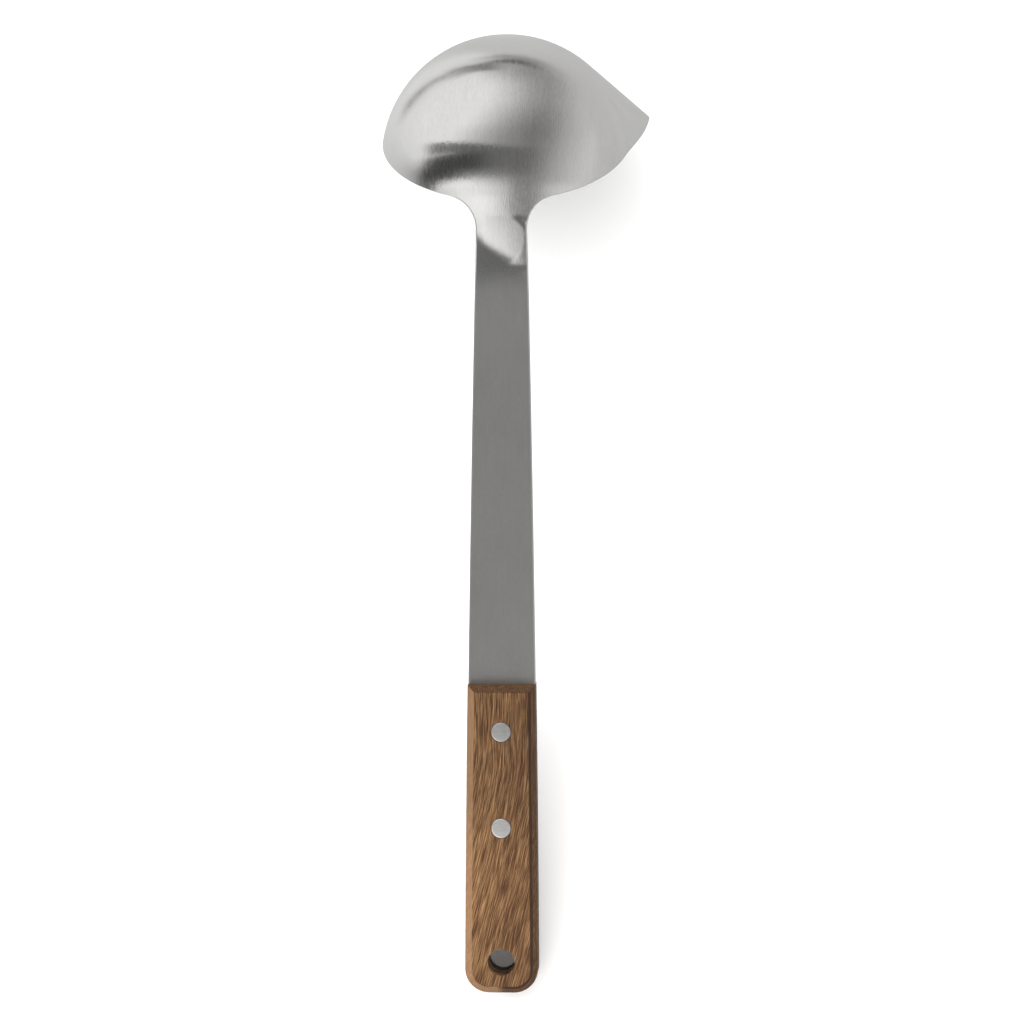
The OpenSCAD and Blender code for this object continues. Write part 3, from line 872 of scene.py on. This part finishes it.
def table_paper():
    finish, tree, shader = new_finish("table_paper")
    own = node(tree, "ShaderNodeTexCoord").outputs["Object"]
    grey = ramp(tree, spread_noise(tree, own, 6.0, 2.0), (0.3, 0.955), (0.7, 0.965))
    # Camera rays see the paper's own white. All other rays meet the darker painted reflection tone.
    seen = node(tree, "ShaderNodeLightPath").outputs["Is Camera Ray"]
    dimmed = painted_reflection_tone(tree, node(tree, "ShaderNodeSeparateXYZ", {"Vector": own}).outputs)
    lit = node(tree, "ShaderNodeMapRange", {"Value": seen, "To Min": dimmed, "To Max": 1.0})
    dim = node(tree, "ShaderNodeMix", {"Factor": 1.0}, data_type="RGBA", blend_type="MULTIPLY")
    tree.links.new(grey, dim.inputs["A"])
    tree.links.new(lit.outputs[0], dim.inputs["B"])
    tree.links.new(dim.outputs["Result"], shader.inputs["Base Color"])
    shader.inputs["Roughness"].default_value = 0.9
    shader.inputs["Specular IOR Level"].default_value = 0.1
    return finish


def table_top():
    """A flat square sheet under the ladle."""
    bm = bmesh.new()
    bmesh.ops.create_grid(bm, x_segments=8, y_segments=8, size=TABLE_HALF)
    mesh = bpy.data.meshes.new("table_top")
    bm.to_mesh(mesh)
    bm.free()
    floor = bpy.data.objects.new("table_top", mesh)
    floor.data.materials.append(table_paper())
    bpy.context.scene.collection.objects.link(floor)
    print("floor", 2 * TABLE_HALF, "m wide, nodes", len(floor.data.materials[0].node_tree.nodes))


table_top()


# %% [markdown]
# ## The light
# Steel shows what stands around it, so the light is a studio that is drawn in the sky. The sky is
# laid out flat, in degrees from overhead: across to the right, and along to the bowl's end. Lamps
# and cards could be built as objects instead, but then they would stand in other views. The sky
# knows only directions, so nothing slides when the view changes.

# %% Helpers for the sky
def sky_degrees(tree):
    """The direction as degrees from overhead: across, along, and their length."""
    way = node(tree, "ShaderNodeTexCoord").outputs["Generated"]
    part = node(tree, "ShaderNodeSeparateXYZ", {"Vector": way}).outputs
    down = sums(tree, "MULTIPLY", sums(tree, "ARCCOSINE", part["Z"]), 180 / math.pi)
    flat = sums(tree, "POWER", sums(tree, "MULTIPLY_ADD", part["X"], part["X"], sums(
        tree, "MULTIPLY", part["Y"], part["Y"])), 0.5)
    spread = sums(tree, "DIVIDE", down, sums(tree, "MAXIMUM", flat, 0.0001))
    return (sums(tree, "MULTIPLY", part["X"], spread), sums(tree, "MULTIPLY", part["Y"], spread),
            down)


def shaded(tree, light, where, share):
    """The light with a share taken away from it where a mask is 1."""
    return sums(tree, "MULTIPLY", light, sums(tree, "MULTIPLY_ADD", where, -share, 1))


def both(tree, *masks):
    """Masks multiplied with each other."""
    joined = masks[0]
    for mask in masks[1:]:
        joined = sums(tree, "MULTIPLY", joined, mask)
    return joined


# %% [markdown]
# ## The tent
# A white tent fills the left and darkens to the right, with a second pale wall far to the right.
# Its folds aren't even: the lower left corner, the far end, a veil overhead and two parts over
# the grip are each a little darker. They make the bowl's back look round.

# %% The tent's brightness
TENT_TONES = ((0.0, 0.85), (0.20, 0.86), (0.28, 0.92), (0.37, 0.69), (0.50, 0.36), (0.60, 0.20),
              (0.70, 0.10), (0.85, 0.0))
WALL_TONES = ((0.24, 0.0), (0.40, 0.12), (0.55, 0.34), (0.67, 0.48), (0.80, 0.58), (0.92, 0.66),
              (1.0, 0.66))
TENT_LIGHT = 1.4


def tent_light(tree, across, along):
    """The tent: its tone across the sky, the wall at the right, and its darker folds."""
    bow = sums(tree, "ADD", across, gate(tree, along, 10, 50, 0, -23))
    bow = sums(tree, "ADD", bow, gate(tree, along, -28, -38, 0, -18))
    place = node(tree, "ShaderNodeMapRange", {"Value": bow, "From Min": -90, "From Max": 90})
    tent = ramp(tree, place.outputs[0], *TENT_TONES)
    lean = sums(tree, "MINIMUM", sums(tree, "MAXIMUM", along, -40), 40)
    lean = sums(tree, "MULTIPLY_ADD", lean, -0.20, across)
    place = node(tree, "ShaderNodeMapRange", {"Value": lean, "From Min": 0, "From Max": 90})
    wall = ramp(tree, place.outputs[0], *WALL_TONES)
    tent = sums(tree, "MULTIPLY", sums(tree, "ADD", tent, wall), TENT_LIGHT)
    tent = sums(tree, "MULTIPLY", tent, gate(tree, along, -26, -34, 1.0, 1.15))
    outer = both(tree, gate(tree, along, -30, -38), gate(tree, across, -36, -60))
    top = both(tree, gate(tree, along, 56, 78), window(tree, across, -22, 26, 18))
    veil = both(tree, gate(tree, along, 26, 5), window(tree, across, -42, 8, 18),
                gate(tree, along, -12, 2))
    right = both(tree, gate(tree, along, -26, -36), gate(tree, across, -4, 10),
                 gate(tree, across, 45, 22))
    left = both(tree, window(tree, along, -44, -30, 5), window(tree, across, -32, -2, 8))
    for where, share in ((outer, 0.28), (top, 0.32), (veil, 0.25), (right, 0.55), (left, 0.15)):
        tent = shaded(tree, tent, where, share)
    return tent


# %% [markdown]
# ## The dark slots
# A slot overhead lets the camera see in, and the bowl's back mirrors it as the dark band. It
# fades to the right, and has a low end and a bar at the far left. A bright seam runs along its
# upper side there.

# %% The slots and the seam
def slotted(tree, light, across, along):
    """The tent's light with the dark slots cut into it, and the bright seam between them."""
    edge = sums(tree, "MULTIPLY_ADD", sums(tree, "MINIMUM", across, 0), 0.15, along)
    bar = both(tree, window(tree, edge, -13, -0.3, 3), gate(tree, across, -74, -71))
    seam_at = sums(tree, "MULTIPLY_ADD", across, 0.05, sums(tree, "ADD", along, 2.1))
    corner = sums(tree, "MULTIPLY_ADD", sums(tree, "ADD", along, 28), -1.3, across)
    band = both(tree, gate(tree, along, -31, -23.5), gate(tree, seam_at, -2, -4),
                gate(tree, corner, -122, -98))
    sunk = sums(tree, "ADD", along, gate(tree, across, -62, -78, 0, 8))
    low_end = both(tree, window(tree, sunk, -28.5, -12, 4), gate(tree, across, -60, -66))
    slot = sums(tree, "MAXIMUM", bar, sums(tree, "MAXIMUM", band, low_end))
    depth = both(tree, gate(tree, across, -34, 24, 0.94, 0.37), gate(tree, across, 14, 40, 1, 0))
    thin = both(tree, gate(tree, along, -16, -25), gate(tree, across, -55, -30))
    depth = shaded(tree, depth, thin, 0.26)
    depth = sums(tree, "MULTIPLY", depth, gate(tree, along, -9, 0, 1.0, 0.86))
    light = shaded(tree, light, both(tree, slot, depth), 1)
    seam = both(tree, window(tree, seam_at, -3.4, -2.4, 0.8), window(tree, across, -74, -48, 14))
    return sums(tree, "MULTIPLY_ADD", seam, 0.9, light)


# %% [markdown]
# ## Low in the sky
# The bowl's far edge mirrors what stands low behind it. Two dark parts just over the horizon
# give the thin dark arcs there, together with the dark stripes painted in the table's reflection
# tone.

# %% Low dark parts, and the whole studio
def low_parts(tree, across, along, down):
    """The mask of the two dark parts over the horizon, beyond the bowl's end."""
    rise = sums(tree, "MINIMUM", sums(tree, "ADD", across, 8), 0)
    rise = sums(tree, "MULTIPLY_ADD", rise, 0.3, down)
    low = both(tree, window(tree, rise, 76, 87, 5), gate(tree, along, 30, 60),
               window(tree, across, -54, -8, 16))
    far = both(tree, gate(tree, down, 84, 89), window(tree, across, -24, 30, 18),
               gate(tree, along, 20, 50))
    return sums(tree, "MAXIMUM", low, far)


def studio():
    """The world: tent, slots and low parts, in a barely warm white."""
    world = bpy.data.worlds.new("studio")
    world.use_nodes = True
    tree = world.node_tree
    across, along, down = sky_degrees(tree)
    light = slotted(tree, tent_light(tree, across, along), across, along)
    light = shaded(tree, light, low_parts(tree, across, along, down), 0.72)
    back = tree.nodes["Background"]
    tree.links.new(light, back.inputs["Strength"])
    back.inputs["Color"].default_value = (1.0, 0.994, 0.984, 1)
    bpy.context.scene.world = world
    print("world", world.name, "nodes", len(tree.nodes))


# %% [markdown]
# ## The lamps
# Two soft suns light the table and the wood: a broad one from above, and a key from the upper
# left that gives the shadows their side. The steel doesn't mirror them, as it has the sky.

# %% Set the lamps
def soft_lamp(name, energy, spread, way):
    """A broad soft lamp, of so many degrees. It only lights: the steel doesn't mirror it."""
    lamp = bpy.data.lights.new(name, "SUN")
    lamp.energy, lamp.angle = energy, math.radians(spread)
    made = bpy.data.objects.new(name, lamp)
    made.rotation_euler = Vector(way).to_track_quat("-Z", "Y").to_euler()
    made.visible_glossy = False
    bpy.context.scene.collection.objects.link(made)
    print("lamp", name, "energy", energy, "degrees", spread)


soft_lamp("key", energy=1.1, spread=40, way=(0.80, -0.35, -0.65))
soft_lamp("fill", energy=2.7, spread=170, way=(0.0, 0.0, -1.0))
studio()
bpy.context.scene.view_settings.view_transform = "Standard"

# %% [markdown]
# ## The camera
# The photograph looks almost straight down from about a metre and a quarter, with a long lens.
# The place was found by matching the outline, the rivets and the hole with the drawn ladle.

# %% Set the camera
EYE = Vector((0.06009, -0.15604, 1.21989))
AIM = Vector((0.00063, -0.00281, 0.030))
ROLL = 0.00884
FOCAL_PX, FRAME_PX, SENSOR_MM = 3593.7, 1029, 36
look = (AIM - EYE).normalized()
right = look.cross(Vector((0, 1, 0))).normalized()
up = right.cross(look)
right, up = (right * math.cos(ROLL) + up * math.sin(ROLL),
             up * math.cos(ROLL) - right * math.sin(ROLL))
lens = bpy.data.cameras.new("camera")
lens.lens, lens.sensor_width = FOCAL_PX / FRAME_PX * SENSOR_MM, SENSOR_MM
lens.clip_start, lens.clip_end = 0.05, 20
camera = bpy.data.objects.new("camera", lens)
camera.matrix_world = Matrix((right, up, -look)).transposed().to_4x4()
camera.location = EYE
bpy.context.scene.collection.objects.link(camera)
bpy.context.scene.camera = camera
print("camera", round((EYE - AIM).length, 3), "m away, lens", round(lens.lens, 1), "mm")
